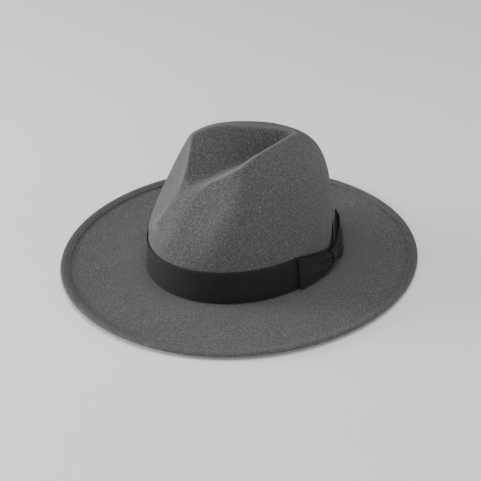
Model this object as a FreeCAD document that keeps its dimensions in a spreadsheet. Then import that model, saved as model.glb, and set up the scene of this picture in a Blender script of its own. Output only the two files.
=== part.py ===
"""Fedora hat: a creased felt hat with a ribbon band and bow, a welted brim and a sweatband.

Millimetres. +Z is up, the front of the hat faces -Y and the wearer's left is +X.
z = 0 is the flat underside of the brim, where the hat rests on a table.
"""
import FreeCAD, Part
import math
import os

os.makedirs("parts", exist_ok=True)

doc = FreeCAD.newDocument("FedoraHat")
sheet = doc.addObject("Spreadsheet::Sheet", "Sheet")

# ---------------------------------------------------------------- driving dimensions
DIMENSIONS = [
    # the crown's dome, before it is creased; its top slopes and bows along the hat
    ("crown_half_length", 103.5),
    ("crown_half_width", 88.2),
    ("crown_height", 147.8),
    ("top_slope", -0.132),
    ("top_bow", 0.021),
    ("dome_squareness", 5.15),
    ("front_lean", 14.6),
    ("front_lean_power", 1.65),
    ("back_lean", 0.95),
    ("back_lean_power", 3.9),
    ("side_lean", 29.9),
    ("side_lean_power", 1.2),
    # the lengthwise crease: a trough with a rounded floor, cut down into the dome
    ("crease_floor_height", 113.7),
    ("crease_back_rise", 0.0048),
    ("crease_front_fall", 0.17),
    ("crease_front_position", -20.0),
    ("crease_floor_round", 8.3),
    ("crease_side_slope", 0.76),
    ("crease_steepening", 0.0038),
    ("crease_steeper_position", -30.0),
    ("brow_position", -58.0),
    ("brow_length", 60.0),
    ("brow_drop", 54.0),
    ("brow_spread", 0.41),
    ("ridge_crisp_round", 3.5),
    ("ridge_soft_round", 10.5),
    # the two front pinches: an egg-shaped tool pressed in on each side
    ("pinch_aside", 63.4),
    ("pinch_along", -96.4),
    ("pinch_height", 129.3),
    ("pinch_turn", 17.6),
    ("pinch_tilt", -28.5),
    ("pinch_depth_radius", 59.3),
    ("pinch_length_radius", 95.4),
    ("pinch_height_radius", 130.0),
    ("pinch_crisp_round", 4.0),
    ("pinch_soft_round", 12.0),
    ("pinch_parting_round", 12.0),
    # felt and brim
    ("felt_thickness", 2.2),
    ("brim_half_length", 195.2),
    ("brim_half_width", 179.3),
    ("brim_rise", 2.3),
    ("brim_front_lift", 1.2),
    ("brim_flat_share", 0.25),
    ("brim_break_round", 1.2),
    # the welt: the brim's edge, folded up and back over a wire
    ("welt_width", 10.0),
    ("welt_thickness", 4.6),
    ("welt_slit", 0.14),
    ("wire_channel_radius", 1.0),
    ("wire_inset", 2.7),
    ("wire_radius", 0.62),
    ("wire_end_angle", 0.4),
    ("joiner_radius", 0.88),
    ("joiner_bore_radius", 0.69),
    ("joiner_angle", 2.5),
    ("thread_radius", 0.22),
    ("stitch_inset", 7.6),
    ("thread_gap", 0.05),
    # ribbon band
    ("ribbon_bottom", 3.2),
    ("ribbon_width", 34.8),
    ("ribbon_thickness", 0.7),
    ("layer_gap", 0.2),
    ("lap_gap", 0.4),
    ("top_notch_length", 100.0),
    ("top_notch_depth", 15.5),
    ("foot_notch_length", 22.0),
    ("foot_notch_depth", 4.0),
    # bow
    ("bow_angle", 130.0),
    ("bow_height", 15.5),
    ("bow_lift", 6.7),
    ("bow_front_angle", 98.5),
    ("bow_front_lift", 3.4),
    ("bow_front_settling", 0.4),
    ("bow_front_slant", 0.0),
    ("bow_front_lean", 0.0),
    ("bow_rear_angle", 156.5),
    ("bow_rear_lift", 8.5),
    ("bow_rear_settling", 1.0),
    ("bow_rear_slant", 41.0),
    ("bow_rear_lean", 9.0),
    ("loop_half_thickness", 1.5),
    ("loop_swell", 0.6),
    ("waist_half_height", 7.0),
    ("waist_half_thickness", 2.2),
    ("knot_width", 11.0),
    ("knot_wall", 0.9),
    ("knot_clearance", 0.25),
    ("tack_radius", 0.25),
    ("tack_length", 3.0),
    ("tack_margin", 1.0),
    ("bow_tack_angle", 2.2),
    # sweatband
    ("sweatband_bottom", 3.6),
    ("sweatband_width", 29.0),
    ("sweatband_thickness", 0.9),
    ("sweatband_gap", 0.6),
    ("seam_gap", 0.5),
    ("reed_radius", 0.9),
    ("seam_tape_width", 16.0),
    ("seam_tape_thickness", 0.4),
    # the boxes and ovals that trim the strips
    ("trim_inward", 25.0),
    ("trim_outward", 6.0),
    ("trim_height", 50.0),
]
for row, (alias, value) in enumerate(DIMENSIONS, start=1):
    sheet.set(f"A{row}", alias)
    sheet.set(f"B{row}", str(value))
    sheet.setAlias(f"B{row}", alias)
doc.recompute()
size = {alias: float(sheet.get(alias)) for alias, value in DIMENSIONS}


# ---------------------------------------------------------------- the crown as one formula
RING_POINTS = 96
VIEW_HEIGHT = 58.0          # the crown is traced by rays from this height on its axis
RING_STEP = 2.5             # degrees between the rays' rings above that height
RINGS_ABOVE = 37
RINGS_BELOW = 7
SEARCH_STEPS = 34
SLOPE_STEP = 0.05
BEND_TURNS = [math.radians(turn) for turn in (25, 50, 75)]


def smooth_larger(first, second, roundness):
    """The larger of two values, with the corner between them rounded."""
    share = min(1.0, max(0.0, 0.5 + 0.5 * (first - second) / roundness))
    return second + (first - second) * share + roundness * share * (1.0 - share)


def eased(share):
    """0 to 1 with a soft start and a soft end."""
    share = min(1.0, max(0.0, share))
    return share * share * (3 - 2 * share)


def crown_oval(height):
    """Half-length, half-width and middle of the uncreased crown's oval at a height."""
    part_way = max(0.0, height / size["crown_height"])
    front = size["front_lean"] * part_way ** size["front_lean_power"]
    back = size["back_lean"] * part_way ** size["back_lean_power"]
    side = size["side_lean"] * part_way ** size["side_lean_power"]
    half_length = size["crown_half_length"] - (front + back) / 2
    return half_length, size["crown_half_width"] - side, (front - back) / 2


def dome_depth(x, y, z):
    """Rough distance outside the plain dome, negative inside it."""
    half_length, half_width, middle = crown_oval(z)
    power = size["dome_squareness"]
    outward = math.hypot(x / half_width, (y - middle) / half_length)
    station = y / 100
    top = size["crown_height"] * (1 + size["top_slope"] * station + size["top_bow"] * station ** 2)
    upward = max(0.0, z) / top
    return ((outward ** power + upward ** power) ** (1 / power) - 1) * size["crown_half_width"]


def crease_depth(x, y, z):
    """Distance above the trough-shaped tool that makes the lengthwise crease."""
    # the floor climbs to the back, falls a little to the front and then dives over the brow
    floor = size["crease_floor_height"] + size["crease_back_rise"] * max(0.0, y) ** 2
    floor -= size["crease_front_fall"] * max(0.0, size["crease_front_position"] - y)
    floor -= size["brow_drop"] * eased((size["brow_position"] - y) / size["brow_length"])
    steeper = max(0.0, y - size["crease_steeper_position"]) ** 1.3
    slope = size["crease_side_slope"] + size["crease_steepening"] * steeper
    slope -= size["brow_spread"] * eased((size["brow_position"] + 6 - y) / 14)
    aside = math.hypot(x, size["crease_floor_round"]) - size["crease_floor_round"]
    return (z - floor - slope * aside) / math.hypot(1.0, slope)


def pinch_depth(x, y, z):
    """Distance into the egg-shaped tool that pinches the front, negative outside it."""
    parting = size["pinch_parting_round"]
    aside = math.hypot(x, parting) - parting - size["pinch_aside"]
    along = y - size["pinch_along"]
    above = z - size["pinch_height"]
    turn = math.radians(size["pinch_turn"])
    tilt = math.radians(size["pinch_tilt"])
    inward = aside * math.sin(turn) - along * math.cos(turn)
    lengthwise = aside * math.cos(turn) + along * math.sin(turn)
    upright = above * math.cos(tilt) + inward * math.sin(tilt)
    inward = inward * math.cos(tilt) - above * math.sin(tilt)
    radii = (size["pinch_depth_radius"], size["pinch_length_radius"], size["pinch_height_radius"])
    egg = math.sqrt(sum((part / radius) ** 2 for part, radius in zip((inward, lengthwise, upright), radii)))
    return (1 - egg) * min(radii)


def crown_depth(x, y, z):
    """Distance outside the finished crown's outer skin, negative inside it."""
    # the edges are crisp on the wearer's right and along the top, and soft on the left beside the nose
    softness = eased((x + 10) / 30)
    roundness = size["pinch_crisp_round"] * (1 - softness) + size["pinch_soft_round"] * softness
    pinched = smooth_larger(dome_depth(x, y, z), pinch_depth(x, y, z), roundness)
    softness = eased((x + 15) / 30) * eased((size["brow_position"] + 6 - y) / 24)
    roundness = size["ridge_crisp_round"] * (1 - softness) + size["ridge_soft_round"] * softness
    return smooth_larger(pinched, crease_depth(x, y, z), roundness)


def plan_direction(angle):
    """Outward plan direction of the crown's oval at an angle from the front towards +X."""
    across = size["crown_half_width"] * math.sin(angle)
    along = -size["crown_half_length"] * math.cos(angle)
    reach = math.hypot(across, along)
    return across / reach, along / reach


def plan_normal(angle):
    """Unit normal of the crown's oval in plan."""
    across = size["crown_half_length"] * math.sin(angle)
    along = -size["crown_half_width"] * math.cos(angle)
    reach = math.hypot(across, along)
    return FreeCAD.Vector(across / reach, along / reach, 0)


def ray_point(angle, start_height, elevation):
    """Where a ray from the crown's axis leaves the outer skin."""
    across, along = plan_direction(angle)
    level = math.cos(elevation)
    direction = FreeCAD.Vector(across * level, along * level, math.sin(elevation))
    start = FreeCAD.Vector(0, 0, start_height)
    near, far = 0.0, 2 * size["crown_half_length"]
    for step in range(SEARCH_STEPS):
        middle = (near + far) / 2
        point = start + direction * middle
        if crown_depth(point.x, point.y, point.z) < 0:
            near = middle
        else:
            far = middle
    return start + direction * near


def skin_normal(point):
    """Outward unit normal of the crown's outer skin."""
    step = SLOPE_STEP
    slope = FreeCAD.Vector(
        crown_depth(point.x + step, point.y, point.z) - crown_depth(point.x - step, point.y, point.z),
        crown_depth(point.x, point.y + step, point.z) - crown_depth(point.x, point.y - step, point.z),
        crown_depth(point.x, point.y, point.z + step) - crown_depth(point.x, point.y, point.z - step),
    )
    return slope.normalize()


ANGLES = [2 * math.pi * index / RING_POINTS for index in range(RING_POINTS)]
break_height = size["felt_thickness"] + size["brim_break_round"]
slit_floor = (size["welt_thickness"] - size["welt_slit"]) / 2
slit_roof = (size["welt_thickness"] + size["welt_slit"]) / 2


def crown_rings():
    """Outer rings of the crown from its axis down to the brim break, and the inner rings behind them."""
    levels = [(VIEW_HEIGHT, math.radians(90 - RING_STEP * step)) for step in range(RINGS_ABOVE)]
    for step in range(1, RINGS_BELOW + 1):
        levels.append((VIEW_HEIGHT + (break_height - VIEW_HEIGHT) * step / RINGS_BELOW, 0.0))
    outer = [[ray_point(angle, height, elevation) for angle in ANGLES] for height, elevation in levels]
    inner = [[point - skin_normal(point) * size["felt_thickness"] for point in ring] for ring in outer]
    return outer, inner


def break_ring(wall, radius, turn):
    """Ring on the bend between crown and brim; turn runs from 0 at the wall to 90 degrees at the brim."""
    ring = []
    for angle, point in zip(ANGLES, wall):
        outward = plan_normal(angle)
        middle = point + outward * size["brim_break_round"]
        place = middle - outward * (radius * math.cos(turn))
        ring.append(FreeCAD.Vector(place.x, place.y, break_height - radius * math.sin(turn)))
    return ring


class Brim:
    """The brim in plan: lines run from the foot of the crown to the brim's edge."""

    def __init__(self, wall):
        self.feet = []
        self.outward = []
        self.widths = []
        for angle, point in zip(ANGLES, wall):
            foot = point + plan_normal(angle) * size["brim_break_round"]
            foot.z = 0
            edge = FreeCAD.Vector(
                size["brim_half_width"] * math.sin(angle), -size["brim_half_length"] * math.cos(angle), 0
            )
            self.feet.append(foot)
            self.widths.append((edge - foot).Length)
            self.outward.append((edge - foot).normalize())

    def underside(self, angle, share):
        """Height of the brim's underside, share being 0 at the crown and 1 at the edge."""
        lifted = max(0.0, (share - size["brim_flat_share"]) / (1 - size["brim_flat_share"]))
        return (size["brim_rise"] + size["brim_front_lift"] * math.cos(angle)) * lifted ** 2

    def ring(self, height, share=None, inset=None):
        """Ring at a share of the brim's width, or at an inset from its edge, above the underside."""
        points = []
        for angle, foot, outward, width in zip(ANGLES, self.feet, self.outward, self.widths):
            reach = width * share if inset is None else width - inset
            place = foot + outward * reach
            place.z = height + self.underside(angle, reach / width)
            points.append(place)
        return points


def sharpened(ring):
    """Control points whose curve passes through the ring's own points."""
    count = len(ring)
    return [
        ring[i] - (ring[i - 1] - ring[i] * 2 + ring[(i + 1) % count]) * (1 / 6) for i in range(count)
    ]


def skin(rings):
    """Smooth closed-round surface over a list of rings."""
    degree = 3
    columns = [[ring[i] for ring in rings] for i in range(RING_POINTS)]
    around = list(range(RING_POINTS + 1))
    along = list(range(len(rings) - degree + 1))
    ends = [degree + 1] + [1] * (len(along) - 2) + [degree + 1]
    surface = Part.BSplineSurface()
    surface.buildFromPolesMultsKnots(
        columns, [1] * len(around), ends, around, along, True, False, degree, degree
    )
    return surface.toShape()


def oval_wire(ring):
    """The curve that a skin follows along one of its end rings."""
    curve = Part.BSplineCurve()
    knots = list(range(RING_POINTS + 1))
    curve.buildFromPolesMultsKnots(ring, [1] * len(knots), knots, True, 3)
    return Part.Wire([curve.toShape()])


def arc_rows(count, first, last, radius):
    """Turns and the control radius that make a skin follow a round edge."""
    step = (last - first) / (count - 1)
    drawn = radius * 3 / (2 + math.cos(math.radians(step)))
    return [(math.radians(first + step * i), drawn) for i in range(count)]


def upper_rings(outer, brim):
    """Crown's outer skin and brim's upper face, as far as the welt's slit."""
    welt = size["welt_width"]
    rings = list(outer)
    rings += [break_ring(outer[-1], size["brim_break_round"], turn) for turn in BEND_TURNS]
    for share in (0.0, 0.02, 0.06, 0.14, 0.25, 0.38, 0.52, 0.66, 0.78):
        rings.append(brim.ring(size["felt_thickness"], share=share))
    rings += [brim.ring(slit_floor, inset=inset) for inset in (welt + 2.0, welt + 0.8, welt)]
    return rings


def slit_rings(brim):
    """Walls of the slit between the welt's two layers, and of the wire's channel at its end."""
    welt = size["welt_width"]
    insets = (welt, welt - 0.8, welt - 2.0, welt - 4.0)
    rings = [brim.ring(slit_floor, inset=inset) for inset in insets]
    for turn, radius in arc_rows(8, 25, 335, size["wire_channel_radius"]):
        height = size["welt_thickness"] / 2 - radius * math.sin(turn)
        rings.append(brim.ring(height, inset=size["wire_inset"] + radius * math.cos(turn)))
    rings += [brim.ring(slit_roof, inset=inset) for inset in reversed(insets)]
    return rings


def edge_rings(brim):
    """Welt's raw edge and top, the brim's round edge and the underside as far as the rest face."""
    welt = size["welt_width"]
    fold = size["welt_thickness"]
    flat = size["brim_flat_share"]
    rings = [brim.ring(slit_roof, inset=welt), brim.ring(slit_roof + 0.7, inset=welt)]
    rings += [brim.ring(fold - 0.5, inset=welt - 0.1), brim.ring(fold, inset=welt - 0.7)]
    rings += [brim.ring(fold, inset=inset) for inset in (welt - 1.5, welt - 3.0, welt - 5.0, fold / 2 + 0.9)]
    for turn, radius in arc_rows(8, 80, -80, fold / 2):
        rings.append(brim.ring(fold / 2 + radius * math.sin(turn), inset=fold / 2 - radius * math.cos(turn)))
    rings += [brim.ring(0, inset=inset) for inset in (fold / 2 + 0.9, welt - 5.0, welt, welt + 6.0)]
    shares = (0.76, 0.66, 0.55, 0.45, 0.36, 0.3, flat, flat - 0.03, flat - 0.06)
    rings += [brim.ring(0, share=share) for share in shares]
    return rings


def lining_rings(outer, inner, brim):
    """Inner edge of the rest face and the crown's inner skin."""
    rings = [brim.ring(0, share=share) for share in (0.06, 0.04, 0.02)]
    rings += [break_ring(outer[-1], break_height, turn) for turn in reversed(BEND_TURNS)]
    rings += list(reversed(inner))
    return rings


def felt_shape():
    """Crown, brim and folded welt as one closed solid of felt."""
    outer, inner = crown_rings()
    brim = Brim(outer[-1])
    strips = (upper_rings(outer, brim), slit_rings(brim), edge_rings(brim), lining_rings(outer, inner, brim))
    upper, slit, around, lining = [[sharpened(ring) for ring in rings] for rings in strips]
    rest_face = Part.makeFace([oval_wire(around[-1]), oval_wire(lining[0])], "Part::FaceMakerBullseye")
    shell = Part.Compound([skin(rings) for rings in (upper, slit, around, lining)] + [rest_face])
    shell.sewShape()
    solid = Part.Solid(shell)
    solid.fix(1e-4, 1e-4, 1e-2)
    return solid


# ---------------------------------------------------------------- helpers for the round pieces
UP = FreeCAD.Vector(0, 0, 1)
QUARTER_TURN = FreeCAD.Rotation(UP, 90)


def named(kind, name):
    """New object of the document with its label."""
    item = doc.addObject(kind, name)
    item.Label = name
    return item


def wall_oval(name, height, offset):
    """Ellipse round the crown's wall at a height, both given as sheet expressions."""
    part_way = f"(({height}) / Sheet.crown_height)"
    front = f"Sheet.front_lean * pow({part_way}; Sheet.front_lean_power)"
    back = f"Sheet.back_lean * pow({part_way}; Sheet.back_lean_power)"
    side = f"Sheet.side_lean * pow({part_way}; Sheet.side_lean_power)"
    dome = f"pow(1 - pow({part_way}; Sheet.dome_squareness); 1 / Sheet.dome_squareness)"
    oval = doc.addObject("Part::Ellipse", name)
    oval.Placement = FreeCAD.Placement(FreeCAD.Vector(0, 0, 0), QUARTER_TURN)
    half_length = f"(Sheet.crown_half_length - ({front} + {back}) / 2)"
    oval.setExpression("MajorRadius", f"{half_length} * {dome} + {offset}")
    oval.setExpression("MinorRadius", f"(Sheet.crown_half_width - {side}) * {dome} + {offset}")
    oval.setExpression(".Placement.Base.y", f"({front} - {back}) / 2")
    oval.setExpression(".Placement.Base.z", height)
    return oval


def wall_blank(name, bottom, top, offset):
    """Solid bounded by the crown's wall, moved outward by an offset, between two heights."""
    middle = f"(({bottom}) + ({top})) / 2"
    blank = doc.addObject("Part::Loft", name)
    blank.Sections = [
        wall_oval(f"{name}_{place}", height, offset)
        for place, height in (("low", bottom), ("middle", middle), ("high", top))
    ]
    blank.Solid = True
    return blank


def wall_strip(name, bottom, width, inner_offset, thickness):
    """Strip that follows the crown's wall."""
    top = f"{bottom} + {width}"
    outer = wall_blank(f"{name}_outer", bottom, top, f"{inner_offset} + {thickness}")
    # the cutting blank stands past both edges of the strip, on the same slope
    inner = wall_blank(f"{name}_inner", f"{bottom} - 0.5", f"{top} + 0.5", inner_offset)
    strip = named("Part::Cut", name)
    strip.Base = outer
    strip.Tool = inner
    return strip


def felt_body():
    """Crown, brim and welt: one piece of felt."""
    body = named("Part::Feature", "felt_body")
    body.Shape = felt_shape()
    body.Placement = FreeCAD.Placement()
    return body


THREAD_FLATS = 8
WIRE_FLATS = 16


def cord_section(name, radius, flats):
    """Outline across a cord: a circle, or a number of flats where the cord is thin."""
    if flats:
        section = doc.addObject("Part::RegularPolygon", name)
        section.Polygon = flats
        section.setExpression("Circumradius", radius)
        return section
    section = doc.addObject("Part::Circle", name)
    section.setExpression("Radius", radius)
    return section


def swept(name, section, spine):
    """Solid swept along an oval."""
    cord = named("Part::Sweep", name)
    cord.Sections = [section]
    cord.Spine = (spine, ["Edge1"])
    cord.Solid = True
    return cord


def wall_cord(name, height, offset, radius, flats=0):
    """Cord that follows the crown's wall at one height, starting at the back."""
    spine = wall_oval(f"{name}_line", height, offset)
    section = cord_section(f"{name}_section", radius, flats)
    section.Placement = FreeCAD.Placement(
        FreeCAD.Vector(0, 0, 0), FreeCAD.Rotation(FreeCAD.Vector(0, 1, 0), 90)
    )
    section.setExpression(".Placement.Base.y", f"{spine.Name}.Placement.Base.y + {spine.Name}.MajorRadius")
    section.setExpression(".Placement.Base.z", height)
    return swept(name, section, spine)


def rim_cord(name, inset, height, radius, flats=0, first_angle=0.0, last_angle=360.0):
    """Cord that follows the brim's edge at an inset, a height above the brim's underside."""
    width = size["brim_half_length"] - size["crown_half_length"] - size["brim_break_round"]
    lifted = ((1 - inset / width - size["brim_flat_share"]) / (1 - size["brim_flat_share"])) ** 2
    half_length = size["brim_half_length"] - inset
    half_width = size["brim_half_width"] - inset
    tilt = math.degrees(math.atan2(size["brim_front_lift"] * lifted, half_length))
    spine = doc.addObject("Part::Ellipse", f"{name}_line")
    spine.setExpression("MajorRadius", f"Sheet.brim_half_length - {inset}")
    spine.setExpression("MinorRadius", f"Sheet.brim_half_width - {inset}")
    spine.Angle1 = first_angle
    spine.Angle2 = last_angle
    spine.Placement = FreeCAD.Placement(
        FreeCAD.Vector(0, 0, height + size["brim_rise"] * lifted),
        FreeCAD.Rotation(FreeCAD.Vector(1, 0, 0), -tilt) * QUARTER_TURN,
    )
    start = math.radians(first_angle)
    place = FreeCAD.Vector(half_length * math.cos(start), half_width * math.sin(start), 0)
    tangent = FreeCAD.Vector(-half_length * math.sin(start), half_width * math.cos(start), 0)
    section = cord_section(f"{name}_section", radius, flats)
    section.Placement = spine.Placement * FreeCAD.Placement(place, FreeCAD.Rotation(UP, tangent))
    return swept(name, section, spine)


def brim_wire():
    """Spring wire that runs round inside the welt's fold, its ends apart at the back."""
    gap = size["wire_end_angle"]
    height = size["welt_thickness"] / 2
    return rim_cord(
        "brim_wire", size["wire_inset"], height, "Sheet.wire_radius", WIRE_FLATS, gap, 360 - gap
    )


def wire_joiner():
    """Crimped tube over the wire's two ends."""
    reach = size["joiner_angle"]
    place = (size["wire_inset"], size["welt_thickness"] / 2)
    tube = named("Part::Cut", "wire_joiner")
    tube.Base = rim_cord("joiner_outside", *place, "Sheet.joiner_radius", 0, 360 - reach, reach)
    tube.Tool = rim_cord("joiner_bore", *place, "Sheet.joiner_bore_radius", 0, 360 - reach, reach)
    return tube


def welt_threads():
    """The two threads of the welt's lockstitch, one on each face."""
    clear = size["thread_radius"] + size["thread_gap"]
    above = size["welt_thickness"] + clear
    return [
        rim_cord("welt_needle_thread", size["stitch_inset"], above, "Sheet.thread_radius", THREAD_FLATS),
        rim_cord("welt_bobbin_thread", size["stitch_inset"], -clear, "Sheet.thread_radius", THREAD_FLATS),
    ]


# ---------------------------------------------------------------- ribbon, bow and sweatband
LOOP_WAIST_SHARE = 0.13     # share of a loop's length that stays gathered inside the knot
LOOP_FOOT_SPREAD = 0.25     # share of its length in which its lower edge then reaches its full height
LOOP_TOP_SPREAD = 0.5       # the same for the rear loop's upper edge; the front loop's climbs all the way


def wall_place(angle, height, lift):
    """Point on the crown's wall, with the directions outward, onward round the crown and up the wall."""
    turn = math.radians(angle)
    half_length, half_width, middle = crown_oval(height)
    outward = plan_normal(turn)
    point = FreeCAD.Vector(half_width * math.sin(turn), middle - half_length * math.cos(turn), height)
    above_length, above_width, above_middle = crown_oval(height + 1)
    above = FreeCAD.Vector(
        above_width * math.sin(turn), above_middle - above_length * math.cos(turn), height + 1
    )
    up_wall = (above - point).normalize()
    onward = up_wall.cross(outward).normalize()
    outward = onward.cross(up_wall).normalize()
    return point + outward * lift, outward, onward, up_wall


def wall_box(name, angle, length):
    """Upright box across the wall at an angle, for trimming strips to a length."""
    box = doc.addObject("Part::Box", name)
    box.setExpression("Length", length)
    box.setExpression("Width", "Sheet.trim_inward + Sheet.trim_outward")
    box.setExpression("Height", "Sheet.trim_height")
    doc.recompute()
    turn = math.radians(angle)
    facing = plan_normal(turn)
    sideways = facing.cross(UP)
    half_length, half_width, middle = crown_oval(0)
    foot = FreeCAD.Vector(half_width * math.sin(turn), middle - half_length * math.cos(turn), 0)
    corner = foot - facing * size["trim_inward"] - sideways * (box.Length.Value / 2)
    box.Placement = FreeCAD.Placement(corner, FreeCAD.Rotation(sideways, facing, UP, "ZXY"))
    return box


def band_notch(name, height, length, depth):
    """Oval cutter that narrows the band where the knot gathers it."""
    centre, outward, onward, up_wall = wall_place(size["bow_angle"], height, -size["trim_outward"])
    oval = doc.addObject("Part::Ellipse", f"{name}_outline")
    oval.setExpression("MajorRadius", f"Sheet.{length} / 2")
    oval.setExpression("MinorRadius", f"Sheet.{depth}")
    facing = onward.cross(up_wall)
    oval.Placement = FreeCAD.Placement(centre, FreeCAD.Rotation(onward, up_wall, facing, "XYZ"))
    notch = doc.addObject("Part::Extrusion", name)
    notch.Base = oval
    notch.Dir = outward
    notch.DirMode = "Custom"
    notch.setExpression("LengthFwd", "2 * Sheet.trim_outward")
    notch.Solid = True
    return notch


def hat_band():
    """Ribbon round the foot of the crown, narrowed at the knot, where its two ends meet."""
    ring = wall_strip(
        "band_ring", "Sheet.ribbon_bottom", "Sheet.ribbon_width", "Sheet.layer_gap", "Sheet.ribbon_thickness"
    )
    top = size["ribbon_bottom"] + size["ribbon_width"]
    cutters = doc.addObject("Part::MultiFuse", "band_cutters")
    cutters.Shapes = [
        wall_box("band_lap", size["bow_angle"], "Sheet.lap_gap"),
        band_notch("top_notch", top, "top_notch_length", "top_notch_depth"),
        band_notch("foot_notch", size["ribbon_bottom"], "foot_notch_length", "foot_notch_depth"),
    ]
    band = named("Part::Cut", "hat_band")
    band.Base = ring
    band.Tool = cutters
    return band


def knot_section(name, angle, half_height, half_thickness):
    """Flat oval across the bow's waist."""
    centre, outward, onward, up_wall = wall_place(angle, size["bow_height"], size["bow_lift"])
    oval = doc.addObject("Part::Ellipse", name)
    oval.setExpression("MajorRadius", half_height)
    oval.setExpression("MinorRadius", half_thickness)
    oval.Placement = FreeCAD.Placement(centre, FreeCAD.Rotation(up_wall, outward, onward, "XYZ"))
    return oval


def loop_ring(end, share):
    """Flat oval across a bow loop, a share of the way from the waist to the loop's end.

    The slant turns its top towards the back of the hat, and the lean turns its foot outward.
    """
    past_waist = max(0.0, share - LOOP_WAIST_SHARE)
    waist_top = size["bow_height"] + size["waist_half_height"]
    waist_foot = size["bow_height"] - size["waist_half_height"]
    ribbon_top = size["ribbon_bottom"] + size["ribbon_width"]
    climb = eased(past_waist / LOOP_TOP_SPREAD)
    if end == "front":
        climb = (past_waist / (1 - LOOP_WAIST_SHARE)) ** 0.8
    top = waist_top + (ribbon_top - waist_top) * climb
    foot = waist_foot + (size["ribbon_bottom"] - waist_foot) * eased(past_waist / LOOP_FOOT_SPREAD)
    settled = eased(past_waist / size[f"bow_{end}_settling"])
    lift = size["bow_lift"] + (size[f"bow_{end}_lift"] - size["bow_lift"]) * settled
    slant = size[f"bow_{end}_slant"] * past_waist
    thinning = (size["waist_half_thickness"] - size["loop_half_thickness"]) * share
    half_thickness = size["waist_half_thickness"] - thinning
    half_thickness += size["loop_swell"] * math.sin(math.pi * past_waist) ** 2
    half_height = (top - foot) / 2 / math.cos(math.radians(slant))
    angle = size["bow_angle"] + (size[f"bow_{end}_angle"] - size["bow_angle"]) * share
    centre, outward, onward, up_wall = wall_place(angle, (top + foot) / 2, lift)
    turn = FreeCAD.Rotation(outward, -slant) * FreeCAD.Rotation(onward, -size[f"bow_{end}_lean"] * past_waist)
    upward = turn.multVec(up_wall) * half_height
    facing = turn.multVec(outward) * half_thickness
    return [centre + upward * math.cos(angle) + facing * math.sin(angle) for angle in ANGLES]


def bow_loop(end):
    """One loop of the bow, front or rear, from its gathered waist in the knot to its full-width end."""
    shares = (0.01, LOOP_WAIST_SHARE / 2, LOOP_WAIST_SHARE, 0.22, 0.32, 0.44, 0.56, 0.7, 0.85, 1.0)
    rings = [sharpened(loop_ring(end, share)) for share in shares]
    ends = [Part.Face(oval_wire(rings[0])), Part.Face(oval_wire(rings[-1]))]
    shell = Part.Compound([skin(rings)] + ends)
    shell.sewShape()
    solid = Part.Solid(shell)
    solid.fix(1e-4, 1e-4, 1e-2)
    loop = named("Part::Feature", f"bow_{end}_loop")
    loop.Shape = solid
    loop.Placement = FreeCAD.Placement()
    return loop


def bow_loops():
    """The bow's two loops."""
    for end in ("front", "rear"):
        bow_loop(end)


def bow_knot():
    """Short wrap of ribbon round the loops' waists."""
    half_width = math.degrees(size["knot_width"] / 2 / size["crown_half_length"])
    blanks = []
    for name, wall, reach in (("knot_outside", " + Sheet.knot_wall", 1.0), ("knot_inside", "", 1.3)):
        half_height = f"Sheet.waist_half_height + Sheet.knot_clearance{wall}"
        half_thickness = f"Sheet.waist_half_thickness + Sheet.knot_clearance{wall}"
        blank = doc.addObject("Part::Loft", name)
        blank.Sections = [
            knot_section(f"{name}_{place}", size["bow_angle"] + turn, half_height, half_thickness)
            for place, turn in (("front", -reach * half_width), ("middle", 0), ("rear", reach * half_width))
        ]
        blank.Solid = True
        blanks.append(blank)
    knot = named("Part::Cut", "bow_knot")
    knot.Base, knot.Tool = blanks
    return knot


def tack(name, angle, height, lift):
    """Short upright thread stitch that lies on a ribbon."""
    thread = named("Part::Cylinder", name)
    thread.setExpression("Radius", "Sheet.tack_radius")
    thread.setExpression("Height", "Sheet.tack_length")
    foot, outward, onward, up_wall = wall_place(angle, height, lift + size["tack_radius"])
    thread.Placement = FreeCAD.Placement(foot, FreeCAD.Rotation(UP, up_wall))
    return thread


def tacks():
    """Thread tacks of the band, near its lower edge, and of the bow, on the band under the waist."""
    one_layer = size["layer_gap"] + size["ribbon_thickness"] + 2 * size["thread_gap"]
    for name, angle in (("band_tack_front", 0), ("band_tack_back", 180), ("band_tack_right", 270)):
        tack(name, angle, size["ribbon_bottom"] + size["tack_margin"], one_layer)
    for name, aside in (("bow_tack_front", -1), ("bow_tack_rear", 1)):
        angle = size["bow_angle"] + aside * size["bow_tack_angle"]
        tack(name, angle, size["bow_height"] - size["tack_length"] / 2, one_layer)


def sweatband():
    """Strip inside the head opening, with a butt joint at the back."""
    ring = wall_strip(
        "sweatband_ring", "Sheet.sweatband_bottom", "Sheet.sweatband_width",
        "-(Sheet.felt_thickness + Sheet.sweatband_gap + Sheet.sweatband_thickness)",
        "Sheet.sweatband_thickness",
    )
    band = named("Part::Cut", "sweatband")
    band.Base = ring
    band.Tool = wall_box("sweatband_joint", 180, "Sheet.seam_gap")
    return band


def sweatband_seam_tape():
    """Tape over the sweatband's joint, on the head's side."""
    ring = wall_strip(
        "seam_tape_ring", "Sheet.sweatband_bottom + 0.6", "Sheet.sweatband_width - 1.2",
        "-(Sheet.felt_thickness + Sheet.sweatband_gap + Sheet.sweatband_thickness"
        " + Sheet.thread_gap * 2 + Sheet.seam_tape_thickness)",
        "Sheet.seam_tape_thickness",
    )
    tape = named("Part::Common", "sweatband_seam_tape")
    tape.Base = ring
    tape.Tool = wall_box("seam_tape_reach", 180, "Sheet.seam_tape_width")
    return tape


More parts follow.
